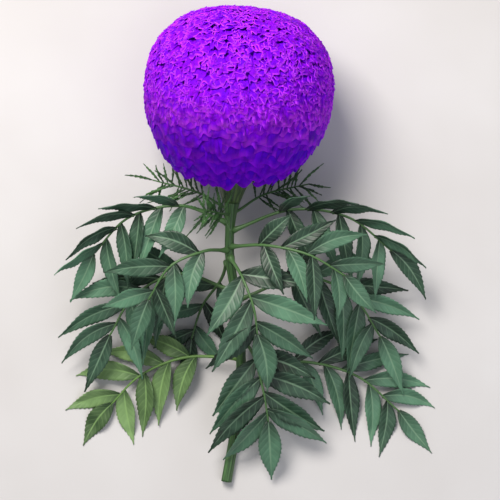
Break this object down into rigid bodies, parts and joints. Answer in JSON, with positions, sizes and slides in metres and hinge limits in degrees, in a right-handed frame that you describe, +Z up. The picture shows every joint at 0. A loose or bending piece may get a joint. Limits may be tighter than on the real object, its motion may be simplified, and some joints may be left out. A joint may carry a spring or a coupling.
{
  "type": "african marigold flower",
  "caption": "Double pompon marigold bloom with ruffled violet florets on a cut leafy stem with toothed pinnate leaves, lying on its side on a surface.",
  "frame": {"origin": "on the surface that the flower lies on, under the middle of its outline", "axes": "+Z up from that surface, +Y along the stem towards the bloom's crown, +X to the right as seen from above"},
  "size_m": [0.2078, 0.2556, 0.0971],
  "materials": {
    "petals": "soft matte petal tissue, violet with paler ruffled edges",
    "calyx": "satin green bracts fused in a ribbed cup",
    "stem": "satin green ribbed stem",
    "leaves": "satin blue-green leaf with pale veins",
    "pale_leaf": "satin yellow-green leaf with pale veins",
    "young_leaves": "satin dark green thread-like leaflets"
  },
  "bodies": {
    "root": {"bloom": "petals", "calyx_cup": "calyx", "stem": "stem", "leaf_left_upper": "leaves", "leaf_right_upper": "leaves", "leaf_front_upper": "leaves", "leaf_right_high": "leaves", "leaf_left_high": "leaves", "leaf_back": "leaves", "leaf_left_middle": "leaves", "leaf_right_middle": "leaves", "leaf_front_lower": "leaves", "leaf_left_lower": "pale_leaf", "leaf_right_lower": "leaves", "feather_leaf_left": "young_leaves", "feather_leaf_right": "young_leaves", "feather_leaf_front": "young_leaves"}
  },
  "joints": []
}
